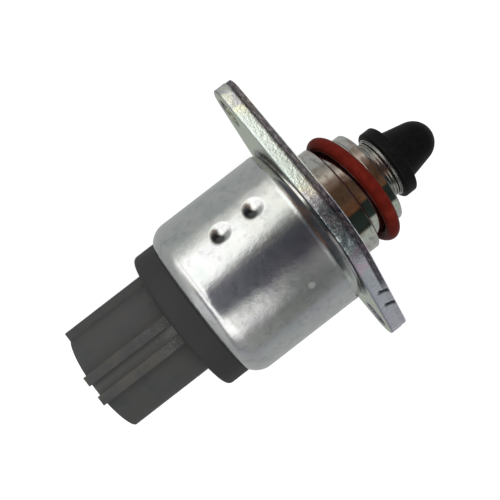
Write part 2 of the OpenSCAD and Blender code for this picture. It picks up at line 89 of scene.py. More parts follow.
def section(points, rounds=()):
    """A closed lathe section through (place, radius) points. Each of rounds is a radius
    and the numbers of the corners that get it."""
    path = Path((points[0][0], 0, points[0][1]))
    for x, r in points[1:]:
        path.line((x, 0, r))
    path.close()
    corners = [(radius, [path.verts[k] for k in which]) for radius, which in rounds]
    for radius, verts in corners:
        bmesh.ops.bevel(path.bm, geom=verts, offset=radius * MM, offset_type="OFFSET",
                        segments=4, profile=0.5, affect="VERTICES", material=-1)
    return path.bm


def turn(bm, steps):
    """Turns a section in the plane Y = 0 once round the valve axis."""
    bmesh.ops.spin(bm, geom=bm.verts[:] + bm.edges[:], cent=(0, 0, 0), axis=AXIS,
                   angle=math.radians(360), steps=steps, use_merge=True)
    bmesh.ops.remove_doubles(bm, verts=bm.verts[:], dist=WELD * MM)
    bmesh.ops.dissolve_degenerate(bm, dist=WELD * MM, edges=bm.edges[:])
    bmesh.ops.recalc_face_normals(bm, faces=bm.faces[:])
    return bm


def ease(bm, width, sharper=40, segments=2, where=lambda edge: True):
    """Rounds the edges that turn by more than an angle."""
    edges = [e for e in bm.edges if len(e.link_faces) == 2
             and e.calc_face_angle() > math.radians(sharper) and where(e)]
    bmesh.ops.bevel(bm, geom=edges, offset=width * MM, offset_type="OFFSET",
                    segments=segments, profile=0.5, affect="EDGES", material=-1,
                    clamp_overlap=True)
    return bm


def piece(name, bm, finish, body, nodes, sharp=38):
    """Makes a mesh into a piece that rides on a body and stands for its nodes."""
    mesh = bpy.data.meshes.new(name)
    bm.to_mesh(mesh)
    bm.free()
    mesh.materials.append(finish.material)
    mesh.shade_smooth()
    mesh.set_sharp_from_angle(angle=math.radians(sharp))
    thing = bpy.data.objects.new(name, mesh)
    bpy.context.scene.collection.objects.link(thing)
    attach(thing, body)
    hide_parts(*nodes)
    return thing


class Wire:
    """One value of a finish. Arithmetic on it adds Math nodes."""

    def __init__(self, finish, socket):
        self.finish, self.socket = finish, socket

    def maths(self, operation, *others):
        return self.finish.node("Math", {"operation": operation}, dict(enumerate((self, *others))))

    def __add__(self, other):
        return self.maths("ADD", other)

    def __sub__(self, other):
        return self.maths("SUBTRACT", other)

    def __mul__(self, other):
        return self.maths("MULTIPLY", other)

    def __rsub__(self, other):
        return self * -1 + other

    def __pow__(self, other):
        return self.maths("POWER", other)

    __radd__, __rmul__ = __add__, __mul__

    def step(self, low, high, to_low=0.0, to_high=1.0):
        """Goes smoothly from to_low to to_high as the value goes from low to high."""
        return self.finish.node("MapRange", {"interpolation_type": "SMOOTHSTEP"},
                                {0: self, 1: low, 2: high, 3: to_low, 4: to_high})


class Finish:
    """A procedural material on Object coordinates, counted in millimetres."""

    def __init__(self, name, **fixed):
        self.material = bpy.data.materials.new(name)
        self.material.use_nodes = True
        self.tree = self.material.node_tree
        self.shader = self.tree.nodes["Principled BSDF"]
        for socket, value in fixed.items():
            self.shader.inputs[socket.replace("_", " ")].default_value = value
        here = self.node("TexCoord", {}, {}, out="Object")
        self.place = self.node("VectorMath", {"operation": "SCALE"}, {0: here, 3: 1 / MM})
        parts = self.tree.nodes.new("ShaderNodeSeparateXYZ")
        self.tree.links.new(self.place.socket, parts.inputs[0])
        self.x, self.y, self.z = (Wire(self, s) for s in parts.outputs)

    def node(self, kind, settings, sockets, out=0):
        """Adds one node: its settings first, then its sockets' values or links."""
        made = self.tree.nodes.new("ShaderNode" + kind)
        for key, value in settings.items():
            if key == "stops":
                ramp = made.color_ramp
                while len(ramp.elements) < len(value):
                    ramp.elements.new(0.5)
                for element, (place, colour) in zip(ramp.elements, value):
                    element.position, element.color = place, (*colour, 1)
            else:
                setattr(made, key, value)
        for key, value in sockets.items():
            if isinstance(value, Wire):
                self.tree.links.new(value.socket, made.inputs[key])
            else:
                made.inputs[key].default_value = value
        return Wire(self, made.outputs[out])

    def grain(self, scale, detail=2, rough=0.5, stretch=(1, 1, 1), seed=0.0):
        """Noise from 0 to 1 with a scale per millimetre, drawn out along the axes."""
        place = self.node("Mapping", {}, {0: self.place, 1: (seed,) * 3, 3: stretch})
        return self.node("TexNoise", {}, {"Vector": place, "Scale": scale,
                                          "Detail": detail, "Roughness": rough})

    def ramp(self, value, *stops):
        return self.node("ValToRGB", {"stops": stops}, {0: value})

    def mix(self, amount, a, b):
        """Colour a, and b where amount is 1."""
        a, b = (v if isinstance(v, Wire) else (*v, 1) for v in (a, b))
        return self.node("Mix", {"data_type": "RGBA"}, {0: amount, 6: a, 7: b}, out=2)

    def bump(self, height, depth):
        """Makes a height from 0 to 1 stand out by a depth in millimetres."""
        sockets = {"Height": height, "Distance": depth * MM, "Strength": 1.0}
        if self.shader.inputs["Normal"].is_linked:
            sockets["Normal"] = Wire(self, self.shader.inputs["Normal"].links[0].from_socket)
        return self.set(Normal=self.node("Bump", {}, sockets))

    def set(self, **wires):
        for socket, wire in wires.items():
            self.tree.links.new(wire.socket, self.shader.inputs[socket.replace("_", " ")])
        return self


CAN_R = 17.5
CAN_WALL = 1.2
RIM_X, ROLL_X, ROLL_R = -4.5, -6.25, 3.06
BEAD, LIP_EASE = 0.05, 0.16
BEND_X, BEND_R, SHOULDER_R, SHOULDER_TURN = -27.1, 12.75, 4.75, 57
STAKES_X = (-11.925, -19.125)
STAKE_TURN = math.radians(42)
STAKE_R, STAKE_FLOOR_R, STAKE_DEPTH = 2.3, 0.2, 0.56
SAG_R, SAG_DEPTH = 3.1, 0.09
CAN_STEPS = 360

roll_turn = math.degrees(math.asin((RIM_X - ROLL_X) / ROLL_R))
lip = math.radians(SHOULDER_TURN)
can_path = Path((BEND_X - SHOULDER_R * math.sin(lip), 0, BEND_R + SHOULDER_R * math.cos(lip)))
can_path.arc((BEND_X, 0, BEND_R), SHOULDER_TURN, 20)
can_path.line((ROLL_X - 0.5, 0, CAN_R), 64)
can_path.line((ROLL_X - 0.1, 0, CAN_R + BEAD)).line((ROLL_X, 0, CAN_R + BEAD))
can_path.arc((ROLL_X, 0, CAN_R + BEAD - ROLL_R), roll_turn, 10)
can_path.line((RIM_X, 0, CAN_R - CAN_WALL))
can_path.line((BEND_X, 0, CAN_R - CAN_WALL), 30)
can_path.arc((BEND_X, 0, BEND_R), -SHOULDER_TURN, 10)
can_path.close()
can = ease(turn(can_path.bm, CAN_STEPS), LIP_EASE)


def stake_dent(co):
    """How far the punch and the metal that it drags down lower the wall at a point."""
    dent = 0
    for x in STAKES_X:
        round_by = math.atan2(co.y, co.z) - STAKE_TURN
        away = math.hypot(co.x / MM - x, round_by * CAN_R)
        cone = min(1, max(0, (STAKE_R - away) / (STAKE_R - STAKE_FLOOR_R)))
        dent += STAKE_DEPTH * cone * cone * (3 - 2 * cone) + SAG_DEPTH * math.exp(-(away / SAG_R) ** 2)
    return dent


near = [e for e in can.edges if all(stake_dent(v.co) > 0.03 for v in e.verts)
        and e.verts[0].co.yz.length > (CAN_R - 0.1) * MM]
bmesh.ops.subdivide_edges(can, edges=near, cuts=1, use_grid_fill=True)
for v in can.verts:
    if RIM_X - 2.5 > v.co.x / MM > BEND_X + 0.2:
        out = v.co.yz.length / MM
        full = CAN_R if out > CAN_R - 0.5 else CAN_R - CAN_WALL
        v.co.yz *= (full - stake_dent(v.co)) / out

plate = Finish("bright_plate", Metallic=1.0, IOR=1.5)
draw_lines = plate.grain(1.4, 3, 0.6, stretch=(0.05, 1, 1))
blotch = plate.grain(0.11, 2, 0.5)
orange_peel = plate.grain(0.9, 3, 0.6, stretch=(0.7, 1, 1))
smudge = plate.grain(0.55, 4, 0.62, seed=4)
tint = plate.ramp(plate.grain(0.2, 2, 0.5, seed=7),
                  (0.3, (0.54, 0.56, 0.555)), (0.5, (0.61, 0.61, 0.6)), (0.68, (0.57, 0.555, 0.58)))
tint = plate.mix(smudge.step(0.5, 0.66) * 0.32, tint, (0.36, 0.36, 0.38))


def far_from(finish, point):
    """How many millimetres a place is from a point."""
    return finish.node("VectorMath", {"operation": "DISTANCE"}, {0: finish.place, 1: point}, out=1)


# Painted shade: each stake's dent gets a dark crescent on its rear slope, the shading of the dent painted
# into the plate's colour.
painted_dent_shade = 0
for x in STAKES_X:
    crescent = far_from(plate, (x - 0.95, 11.25, 13.4)).step(0.7, 1.75, 1, 0)
    painted_dent_shade = crescent * far_from(plate, (x + 0.55, 12.1, 12.65)).step(0.6, 1.5) + painted_dent_shade
scuff = far_from(plate, (-12.05, -5.1, 16.74)).step(0.15, 0.95, 1, 0)
# The plate is darkened here by the painted shade in the stakes' dents.
tint = plate.mix((painted_dent_shade * 1.1).maths("MINIMUM", 0.87), tint, (0.055, 0.052, 0.052))
plate.set(Base_Color=plate.mix(scuff * 0.5, tint, (0.66, 0.66, 0.63)),
          Roughness=blotch.step(0.3, 0.7, 0.1, 0.16) + draw_lines * 0.05 + smudge * 0.07 + scuff * 0.35)
plate.bump(draw_lines, 0.007).bump(orange_peel, 0.024).bump(blotch, 0.12)
piece("can_shell", can, plate, "housing", ["motor_can"])


# Flange
# The flange is stamped from thick steel and zinc plated. The punch left a sheared band
# round the back of its edge and a torn, set-back band at the front, and handling left two
# nicks in the lower lobe.
FLANGE_BACK = -3.9
WAIST_R, LOBE_R, LOBE_STEPS, WAIST_STEPS = 16.9, 5.1, 44, 56
LOBES_Y = (26.55, -24.15)
BOLT_R, BORE_R = 3.0, 12.05
TEAR_X = -1.3
NICKS_Y, NICK_DEPTH, NICK_HALF, NICK_SLANT = (-16.8, -20.5), 0.3, 0.3, 0.45


def flange_loop(bm, x, inset):
    """The flange's outline at a place along the axis, drawn a little inside itself."""
    waist, lobe = WAIST_R - inset, LOBE_R - inset
    tilt = [math.acos((waist - lobe) / abs(y)) for y in LOBES_Y]

    def on(r, y, turn_by):
        return x, y + r * math.cos(turn_by), r * math.sin(turn_by)

    up, down = LOBES_Y
    path = Path(on(lobe, up, -tilt[0]), bm)
    path.arc((x, up, 0), math.degrees(2 * tilt[0]), LOBE_STEPS, AXIS)
    path.line(on(waist, 0, tilt[0]), 80)
    path.arc((x, 0, 0), 180 - math.degrees(tilt[0] + tilt[1]), WAIST_STEPS, AXIS)
    path.line(on(lobe, down, math.pi - tilt[1]), 70)
    path.arc((x, down, 0), math.degrees(2 * tilt[1]), LOBE_STEPS, AXIS)
    path.line(on(waist, 0, math.pi + tilt[1]), 70)
    path.arc((x, 0, 0), 180 - math.degrees(tilt[0] + tilt[1]), WAIST_STEPS, AXIS)
    path.line(on(lobe, up, -tilt[0]), 80)
    bmesh.ops.pointmerge(bm, verts=[path.first, path.last], merge_co=path.first.co)
    return path


def ring_loop(bm, x, y, r, steps):
    """A round edge in a plane across the axis."""
    place = Matrix.Translation(Vector((x, y, 0)) * MM) @ Matrix.Rotation(math.pi / 2, 4, "Y")
    made = bmesh.ops.create_circle(bm, segments=steps, radius=r * MM, matrix=place)
    return list({e for v in made["verts"] for e in v.link_edges})


def nick_depth(x, y, z):
    """How deep the nicks in the lower lobe cut in at a point of its edge."""
    if z <= 0 or x <= -2.6:
        return 0
    return sum(NICK_DEPTH * math.exp(-((y - at + NICK_SLANT * (x + 2)) / NICK_HALF) ** 2) for at in NICKS_Y)


flange = bmesh.new()
edge_rows = [(FLANGE_BACK, 0.3), (-3.86, 0.17), (-3.78, 0.07), (-3.66, 0.015)]
edge_rows += [(-3.5 + 0.42 * k, 0) for k in range(5)]
edge_rows += [(-1.46, 0.0), (TEAR_X, 0.05), (-1.16, 0.13)]
edge_rows += [(-0.95 + 0.3 * k, 0.14) for k in range(3)]
edge_rows += [(-0.1, 0.17), (-0.02, 0.26), (0, 0.36)]
loops = []
for x, inset in edge_rows:
    loops.append([v for v in flange_loop(flange, x, inset).verts if v.is_valid])
for before, after in zip(loops, loops[1:]):
    rim = [e for loop in (before, after) for v in loop for e in v.link_edges
           if e.other_vert(v) in set(loop)]
    bmesh.ops.bridge_loops(flange, edges=list(set(rim)))
bores = [(y, BOLT_R, 64, 0.25) for y in LOBES_Y] + [(0, BORE_R, 192, 0.1)]
ends = {FLANGE_BACK: [], 0: []}
for y, r, steps, chamfer in bores:
    rows = [(FLANGE_BACK, r + chamfer), (FLANGE_BACK + chamfer, r), (-chamfer, r), (0, r + chamfer)]
    rims = [ring_loop(flange, x, y, rr, steps) for x, rr in rows]
    for before, after in zip(rims, rims[1:]):
        bmesh.ops.bridge_loops(flange, edges=before + after)
    ends[FLANGE_BACK] += rims[0]
    ends[0] += rims[-1]
for x, loop in ((FLANGE_BACK, loops[0]), (0, loops[-1])):
    rim = list({e for v in loop for e in v.link_edges if e.other_vert(v) in set(loop)})
    bmesh.ops.triangle_fill(flange, use_beauty=True, edges=rim + ends[x])
bmesh.ops.recalc_face_normals(flange, faces=flange.faces[:])
flange.normal_update()
for v in flange.verts:
    x, y, z = v.co / MM
    if Vector((y, z)).length < BORE_R + 1 or v.normal.length < 0.5 or abs(v.normal.x) > 0.9:
        continue
    if any(math.hypot(y - c, z) < BOLT_R + 0.5 for c in LOBES_Y):
        continue
    torn = min(1, max(0, (x - TEAR_X) / 0.25))
    rough = 0.05 * torn * noise.noise(Vector((x * 2.2, y * 2.6, z * 2.6)))
    wave = 0.012 * noise.noise(Vector((x * 0.5, y * 0.7, z * 0.7)) + Vector((9, 0, 0)))
    outward = Vector((0, v.normal.y, v.normal.z))
    v.co += outward * (rough + wave - nick_depth(x, y, z)) * MM
    if TEAR_X - 0.3 < x < TEAR_X + 0.3:
        v.co.x += 0.16 * MM * noise.noise(Vector((1, y * 1.3, z * 1.3)))

zinc = Finish("zinc_plate", Metallic=1.0, IOR=1.5)
speck = zinc.grain(2.4, 4, 0.7)
cloud = zinc.grain(0.7, 4, 0.66, seed=3)
wander = zinc.grain(0.35, 2, 0.6, seed=11)
share = (zinc.y + wander * 14 - 7 + 30) * (1 / 62)
colour = zinc.ramp(
    share, (0.05, (0.66, 0.62, 0.72)), (0.33, (0.66, 0.68, 0.76)), (0.385, (0.84, 0.62, 0.78)),
    (0.42, (0.7, 0.76, 0.78)), (0.47, (0.56, 0.64, 0.66)), (0.53, (0.5, 0.57, 0.58)),
    (0.57, (0.8, 0.74, 0.78)), (0.62, (0.84, 0.82, 0.62)), (0.68, (0.8, 0.88, 0.82)),
    (0.86, (0.84, 0.92, 0.88)), (0.92, (0.88, 0.88, 0.66)), (0.97, (0.62, 0.62, 0.65)),
    (1.0, (0.52, 0.52, 0.56)))
colour = zinc.mix(speck.step(0.5, 0.66) * 0.5, colour, (0.84, 0.86, 0.8))
middle = zinc.y.step(-9, -2) * zinc.y.step(3, 9, 1, 0.1)
dirt = speck.step(0.36, 0.5, 1, 0) * (middle * 0.5 + 0.12) + cloud.step(0.42, 0.56) * middle
nicks = glints = 0
for at in NICKS_Y:
    aside = (zinc.x + 2) * NICK_SLANT + zinc.y - at
    nicks = aside.maths("ABSOLUTE").step(0.1, 0.34, 1, 0) + nicks
    glints = (aside + 0.65).maths("ABSOLUTE").step(0.12, 0.5, 1, 0) + glints
glints = glints * zinc.x.step(-2.2, -1.6) * zinc.x.step(-1.2, -0.7, 1, 0)
glints = glints * zinc.z.step(0, 1) * speck.step(0.3, 0.5)
nicks = nicks * zinc.x.step(-2.6, -1.7) * zinc.z.step(0, 1) * zinc.x.step(-0.25, -0.05, 1, 0)
torn_part = zinc.x.step(TEAR_X - 0.15, TEAR_X + 0.2) * zinc.x.step(-0.25, -0.05, 1, 0)
torn_part = torn_part * zinc.y.step(-18, -14, 0.12, 1)
face_part = zinc.x.step(-0.3, -0.02)
back_part = zinc.x.step(FLANGE_BACK + 0.03, FLANGE_BACK + 0.1, 1, 0)
bend_part = zinc.x.step(FLANGE_BACK + 0.1, FLANGE_BACK + 0.5, 1, 0) * (1 - back_part)
back_colour = zinc.ramp(cloud, (0.36, (0.52, 0.62, 0.4)), (0.5, (0.62, 0.66, 0.52)),
                        (0.64, (0.66, 0.61, 0.62)))
edge_colour = zinc.mix(back_part, colour, back_colour)
radius = (zinc.y * zinc.y + zinc.z * zinc.z) ** 0.5
# Painted shade: the back face is darkened to navy within about 18 mm of the axis, in the narrow gap behind
# the can's rim.
edge_colour = zinc.mix(back_part * radius.step(17.5, 18.5, 0.9, 0), edge_colour, (0.04, 0.045, 0.07))
dark_part = (dirt * (1 - back_part) * 0.75 + nicks + bend_part * 0.6).maths("MINIMUM", 1)
edge_colour = zinc.mix(dark_part, edge_colour, (0.11, 0.13, 0.15))
edge_colour = zinc.mix(glints * 0.8, edge_colour, (0.9, 0.95, 0.96))
streak = zinc.grain(2.6, 3, 0.65, stretch=(1.8, 0.35, 0.35), seed=9)
torn_colour = zinc.ramp(streak, (0.36, (0.02, 0.016, 0.02)), (0.52, (0.1, 0.08, 0.1)),
                        (0.66, (0.36, 0.29, 0.33)))
dullness = torn_part * 0.16 + dark_part * 0.1 + face_part * 0.18
zinc.set(Base_Color=zinc.mix(torn_part * 0.9, edge_colour, torn_colour), Metallic=face_part * -0.6 + 1,
         Roughness=cloud.step(0.3, 0.7, 0.2, 0.32) + dullness)
zinc.bump(speck, 0.05).bump(zinc.grain(1.3, 3, 0.6), 0.06)
stamping = piece("flange_stamping", flange, zinc, "housing", ["flange_plate"], sharp=30)
for face in stamping.data.polygons:
    face.use_smooth = abs(face.normal.x) < 0.999


# Nose
# The nose and the motor's end plate are turned from one steel bar and plated. Behind the
# seal is the land that pilots the valve, and fine rings are turned at the neck's mouth.
LAND_R, SEAT_R, FRONT_R, NECK_R = 12.0, 10.03, 10.2, 6.2
nose = section([
    (-8.3, 7.05), (-8.3, 16.2), (-3.95, 16.2), (-3.95, LAND_R), (-0.6, LAND_R), (-0.6, 11.6),
    (0, 11.6), (0, LAND_R), (3.95, LAND_R), (4.25, 11.75), (4.25, SEAT_R), (9.4, SEAT_R),
    (9.4, FRONT_R), (11.35, FRONT_R), (11.35, NECK_R), (12.6, NECK_R), (12.6, 6.0), (12.8, 6.0),
    (12.8, 6.25), (13.2, 6.25), (13.2, 6.0), (13.4, 6.0), (13.4, 6.3), (13.75, 6.3),
    (13.75, 5.0), (2.75, 5.0), (2.75, 2.8), (-3.15, 2.8), (-3.15, 6.4), (-4.15, 6.4), (-4.15, 7.05),
], rounds=((0.45, (13,)), (0.12, (12, 23)), (0.1, (8, 9)), (0.3, (10, 11)), (0.35, (14,)),
           (0.06, (15, 18, 19, 22))))
turn(nose, 256)

turned = Finish("turned_steel", Metallic=1.0, IOR=1.5)
tool_marks = turned.grain(5.0, 2, 0.5, stretch=(1, 0.02, 0.02))
smear = turned.grain(0.7, 4, 0.62, stretch=(1.6, 0.7, 0.7))
stain = turned.grain(0.28, 3, 0.6, seed=5)
base = turned.ramp(stain, (0.34, (0.5, 0.42, 0.37)), (0.5, (0.6, 0.58, 0.56)), (0.66, (0.54, 0.56, 0.53)))
neck_part = turned.x.step(11.2, 11.5, 0, 0.35)
browned = (smear.step(0.5, 0.68) * 0.5 + neck_part).maths("MINIMUM", 0.8)
turned.set(Base_Color=turned.mix(browned, base, (0.16, 0.12, 0.1)),
           Roughness=smear.step(0.35, 0.7, 0.045, 0.1) + neck_part * 0.3)
turned.bump(tool_marks, 0.0006).bump(smear, 0.004)
piece("turned_nose", nose, turned, "housing", ["nose_housing"], sharp=10)


# O-ring
# The seal is a moulded O-ring of brick red rubber, a little uneven along its length. It
# leans on its seat, as a seal does that was pulled out of its bore.
RING_R, RING_SECTION_R, RING_X = 11.46, 1.37, 6.86
RING_LEAN, RING_CLOCK = 5.7, 20
ring_path = Path((0, 0, RING_R + RING_SECTION_R))
ring_path.arc((0, 0, RING_R), 360 - 360 / 40, 39).close()
ring = turn(ring_path.bm, 192)
for v in ring.verts:
    v.co += Vector(v.co.normalized()) * 0.03 * MM * noise.noise(v.co / MM * 0.35)
lean = Matrix.Rotation(math.radians(RING_LEAN), 4, "Y")
seated = Matrix.Translation(AXIS * RING_X * MM) @ Matrix.Rotation(math.radians(RING_CLOCK), 4, "X")
bmesh.ops.transform(ring, matrix=seated @ lean, verts=ring.verts[:])

red = Finish("red_rubber", Roughness=0.4, IOR=1.5, Specular_IOR_Level=0.02)
mottle = red.grain(0.5, 3, 0.55)
pores = red.grain(6.0, 2, 0.6)
red.set(Base_Color=red.ramp(mottle, (0.32, (0.058, 0.0055, 0.0035)), (0.55, (0.08, 0.0075, 0.0045)),
                            (0.72, (0.1, 0.0125, 0.0075))),
        Roughness=mottle.step(0.3, 0.7, 0.3, 0.44))
red.bump(pores, 0.012)
piece("seal_ring", ring, red, "housing", ["o_ring"])


# Connector cap
# One moulding in dark grey glass-filled nylon closes the can and carries the connector.
# Its disc shows behind the can's rolled lip, and its oval shroud has a rail on one side
# and two ribs on top, with the ramp that latches the plug between them.
DISC_FRONT, DISC_BACK, DISC_R, DISC_ROUND = -30.98, -35.93, 15.56, 0.95
MOUTH_X, FLOOR_X = -55.13, -38.53
CONNECTOR_TURN = Matrix.Rotation(math.radians(-CONNECTOR_AT), 4, "X")
HALF_W, HALF_H, SHROUD_WALL = 10.6, 8.5, 1.6
END_R, END_Y, FLAT_R = 6.545, 4.055, 11.727
RAIL_TOP, RAIL_HALF = 12.0, 2.5
RIBS = {1: (0.85, 2.8), -1: (1.55, 3.5)}
RIB_TOP, RIB_OVER, RIB_FOOT = 10.2, 0.06, 9
LATCH_AT, LATCH_SIZE = (-38.4, -0.35, 8.3), (3.66, 2.8, 2.0)
LATCH_CREST, LATCH_LOW = 9.86, 8.45

cap_path = Path((-27.1, 0, 16.2)).arc((-27.1, 0, 12.75), -57.8, 10)
for x, r in ((DISC_FRONT, 15.29), (DISC_FRONT, DISC_R), (DISC_BACK + DISC_ROUND, DISC_R)):
    cap_path.line((x, 0, r))
cap_path.arc((DISC_BACK + DISC_ROUND, 0, DISC_R - DISC_ROUND), -90, 10)
for x, r in ((DISC_BACK, 5), (FLOOR_X, 5), (FLOOR_X, 1), (-27.8, 1), (-27.8, 4.05), (-24.25, 4.05),
             (-24.25, 5.4), (-28.83, 5.4), (-28.83, 14.4), (-22.75, 14.4), (-22.75, 16.2),
             (-24.175, 16.2), (-24.175, 15.1), (-25.675, 15.1), (-25.675, 16.2)):
    cap_path.line((x, 0, r))
cap = ease(turn(cap_path.close().bm, 192), 0.1, 50)


def shroud_loop(bm, x, grow):
    """The shroud's outline with its rail and ribs, drawn a little outside itself."""
    end, flat = END_R + grow, FLAT_R + grow
    flat_z = HALF_H - FLAT_R
    split = math.degrees(math.atan2(END_Y, -flat_z))
    rail = math.degrees(math.asin((RAIL_HALF + grow) / end))
    ribs = {side: [math.degrees(math.asin(y / flat)) for y in (near - grow, far + grow)]
            for side, (near, far) in RIBS.items()}

    def on(centre_y, centre_z, r, from_top):
        a = math.radians(from_top)
        return x, centre_y + r * math.sin(a), centre_z + r * math.cos(a)

    path = Path(on(0, flat_z, flat, 0), bm)
    marks = {}
    for side in (1, -1):
        if side == 1:
            path.arc((x, 0, flat_z), -ribs[1][0], 4, AXIS)
            marks["in", 1] = path.last
            path.line((x, RIBS[1][0] - grow, RIB_TOP + grow))
            path.line((x, RIBS[1][1] + grow, RIB_TOP + grow))
            path.line(on(0, flat_z, flat, ribs[1][1]))
            marks["out", 1] = path.last
            path.arc((x, 0, flat_z), -(split - ribs[1][1]), 18, AXIS)
            path.arc((x, END_Y, 0), -(90 - split - rail), 8, AXIS)
            path.line((x, RAIL_TOP + grow, RAIL_HALF + grow))
            path.line((x, RAIL_TOP + grow, -RAIL_HALF - grow))
            path.line(on(END_Y, 0, end, 90 + rail))
            path.arc((x, END_Y, 0), -(90 - split - rail), 8, AXIS)
            path.arc((x, 0, -flat_z), -2 * split, 48, AXIS)
        else:
            path.arc((x, -END_Y, 0), -(180 - 2 * split), 36, AXIS)
            path.arc((x, 0, flat_z), -(split - ribs[-1][1]), 18, AXIS)
            marks["out", -1] = path.last
            path.line((x, -RIBS[-1][1] - grow, RIB_TOP + grow))
            path.line((x, -RIBS[-1][0] + grow, RIB_TOP + grow))
            path.line(on(0, flat_z, flat, -ribs[-1][0]))
            marks["in", -1] = path.last
            path.arc((x, 0, flat_z), -ribs[-1][0], 4, AXIS)
    bmesh.ops.pointmerge(bm, verts=[path.first, path.last], merge_co=path.first.co)
    return path, marks


def loop_edges(path):
    own = {v for v in path.verts if v.is_valid}
    return list({e for v in own for e in v.link_edges if e.other_vert(v) in own})


def socket_loop(bm, x, inset):
    """The oval of the socket's inside, as far inside the shroud as its wall."""
    end, flat = END_R - inset, FLAT_R - inset
    flat_z = HALF_H - FLAT_R
    split = math.degrees(math.atan2(END_Y, -flat_z))
    path = Path((x, 0, flat_z + flat), bm)
    path.arc((x, 0, flat_z), -split, 24, AXIS)
    path.arc((x, END_Y, 0), -(180 - 2 * split), 30, AXIS)
    path.arc((x, 0, -flat_z), -2 * split, 48, AXIS)
    path.arc((x, -END_Y, 0), -(180 - 2 * split), 30, AXIS)
    path.arc((x, 0, flat_z), -split, 24, AXIS)
    bmesh.ops.pointmerge(bm, verts=[path.first, path.last], merge_co=path.first.co)
    return path


shroud = bmesh.new()
outer = [shroud_loop(shroud, x, grow) for x, grow in
         ((-35.2, 0.3), (DISC_BACK - 0.01, 0.3), (-36.0, 0.15), (-36.12, 0.05), (-36.3, 0), (MOUTH_X, 0))]
for (before, _), (after, _) in zip(outer, outer[1:]):
    bmesh.ops.bridge_loops(shroud, edges=loop_edges(before) + loop_edges(after))
inner = [socket_loop(shroud, x, SHROUD_WALL) for x in (MOUTH_X, FLOOR_X)]
bmesh.ops.bridge_loops(shroud, edges=loop_edges(inner[0]) + loop_edges(inner[1]))
bmesh.ops.contextual_create(shroud, geom=loop_edges(inner[1]))
bmesh.ops.contextual_create(shroud, geom=loop_edges(outer[0][0]))
mouth, marks = outer[-1]
rib_sides, rib_roots = [], []
for side in (1, -1):
    root = shroud.edges.new((marks["in", side], marks["out", side]))
    tops = [e for e in loop_edges(mouth) if e is not root
            and all(RIBS[side][0] - 0.05 < side * v.co.y / MM < RIBS[side][1] + 0.05 for v in e.verts)
            and max(v.co.z for v in e.verts) / MM > RIB_FOOT]
    rib_sides += tops
    rib_roots.append(root)
    face = bmesh.ops.contextual_create(shroud, geom=tops + [root])["faces"]
    grown = bmesh.ops.extrude_face_region(shroud, geom=face)
    bmesh.ops.translate(shroud, vec=(-RIB_OVER * MM, 0, 0),
                        verts=[g for g in grown["geom"] if isinstance(g, bmesh.types.BMVert)])
    bmesh.ops.delete(shroud, geom=face, context="FACES_ONLY")
mouth_rim = [e for e in loop_edges(mouth) if e not in set(rib_sides)] + rib_roots
bmesh.ops.triangle_fill(shroud, use_beauty=True, edges=list(set(mouth_rim)) + loop_edges(inner[0]))
bmesh.ops.recalc_face_normals(shroud, faces=shroud.faces[:])
ease(shroud, 0.22, 35, 3, lambda e: min(v.co.x for v in e.verts) / MM < DISC_BACK - 0.1)
latch_place = Matrix.Translation(Vector(LATCH_AT) * MM) @ Matrix.Diagonal((*Vector(LATCH_SIZE) * MM, 1))
latch = bmesh.ops.create_cube(shroud, size=1, matrix=latch_place)
for v in latch["verts"]:
    if v.co.z > LATCH_AT[2] * MM:
        v.co.z = (LATCH_CREST if v.co.x > LATCH_AT[0] * MM else LATCH_LOW) * MM
bmesh.ops.transform(shroud, matrix=CONNECTOR_TURN, verts=shroud.verts[:])
shroud_mesh = bpy.data.meshes.new("shroud")
shroud.to_mesh(shroud_mesh)
cap.from_mesh(shroud_mesh)

nylon = Finish("grey_nylon", Roughness=0.55, IOR=1.5, Specular_IOR_Level=0.1)
fibre = nylon.grain(2.6, 4, 0.6, stretch=(0.35, 1, 1))
patch = nylon.grain(0.3, 3, 0.6, seed=2)
clocking = math.radians(CONNECTOR_AT)
across = nylon.y * math.cos(clocking) - nylon.z * math.sin(clocking)
height = nylon.y * math.sin(clocking) + nylon.z * math.cos(clocking)
grey = nylon.ramp(patch, (0.3, (0.038, 0.0385, 0.0395)), (0.45, (0.043, 0.0432, 0.043)),
                  (0.56, (0.045, 0.045, 0.0425)), (0.7, (0.047, 0.0445, 0.0435)))
near_ribs = (across + 0.35).maths("ABSOLUTE").step(3.2, 3.6, 1, 0) * height.step(8.2, 8.5)
near_ribs = near_ribs * nylon.x.step(-36.4, -36.2, 1, 0)
grey = nylon.mix(near_ribs * nylon.grain(0.25, 2, seed=6).step(0.4, 0.6) * 0.5, grey, (0.064, 0.058, 0.048))
# Painted light: the floor and latch ramp between the ribs get a lighter grey that cancels the shade in the
# slot.
painted_slot_light = (across + 0.35).maths("ABSOLUTE").step(1.05, 1.2, 1, 0) * height.step(9.9, 10.0, 1, 0)
grey = nylon.mix(near_ribs * painted_slot_light, grey, (0.084, 0.083, 0.08))
pale = near_ribs * nylon.x.step(-44, -40) * nylon.grain(3.2, 3, 0.6).step(0.55, 0.64)
grey = nylon.mix(pale * 0.45, grey, (0.14, 0.137, 0.128))
disc_part = nylon.x.step(-36.05, -35.8)
nylon.set(Base_Color=nylon.mix(disc_part * 0.9, grey, (0.023, 0.023, 0.0225)),
          Roughness=fibre.step(0.35, 0.65, 0.46, 0.6))
nylon.bump(fibre, 0.014).bump(nylon.grain(9, 2), 0.006)
piece("cap_moulding", cap, nylon, "housing", ["connector_cap"], sharp=32)


# Terminals
# Six square terminals of tinned brass stand in two rows in the socket. They are stamped,
# coined to a point and moulded into the cap.
def eased_copy(name, node, finish, body, width):
    """A copy of a solid with its loose triangles joined and its edges rounded."""
    bm = bmesh.new()
    bm.from_mesh(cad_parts[node].data)
    bmesh.ops.remove_doubles(bm, verts=bm.verts[:], dist=0.001 * MM)
    bmesh.ops.dissolve_limit(bm, angle_limit=math.radians(1), verts=bm.verts[:], edges=bm.edges[:])
    ease(bm, width, 25)
    return piece(name, bm, finish, body, [node])


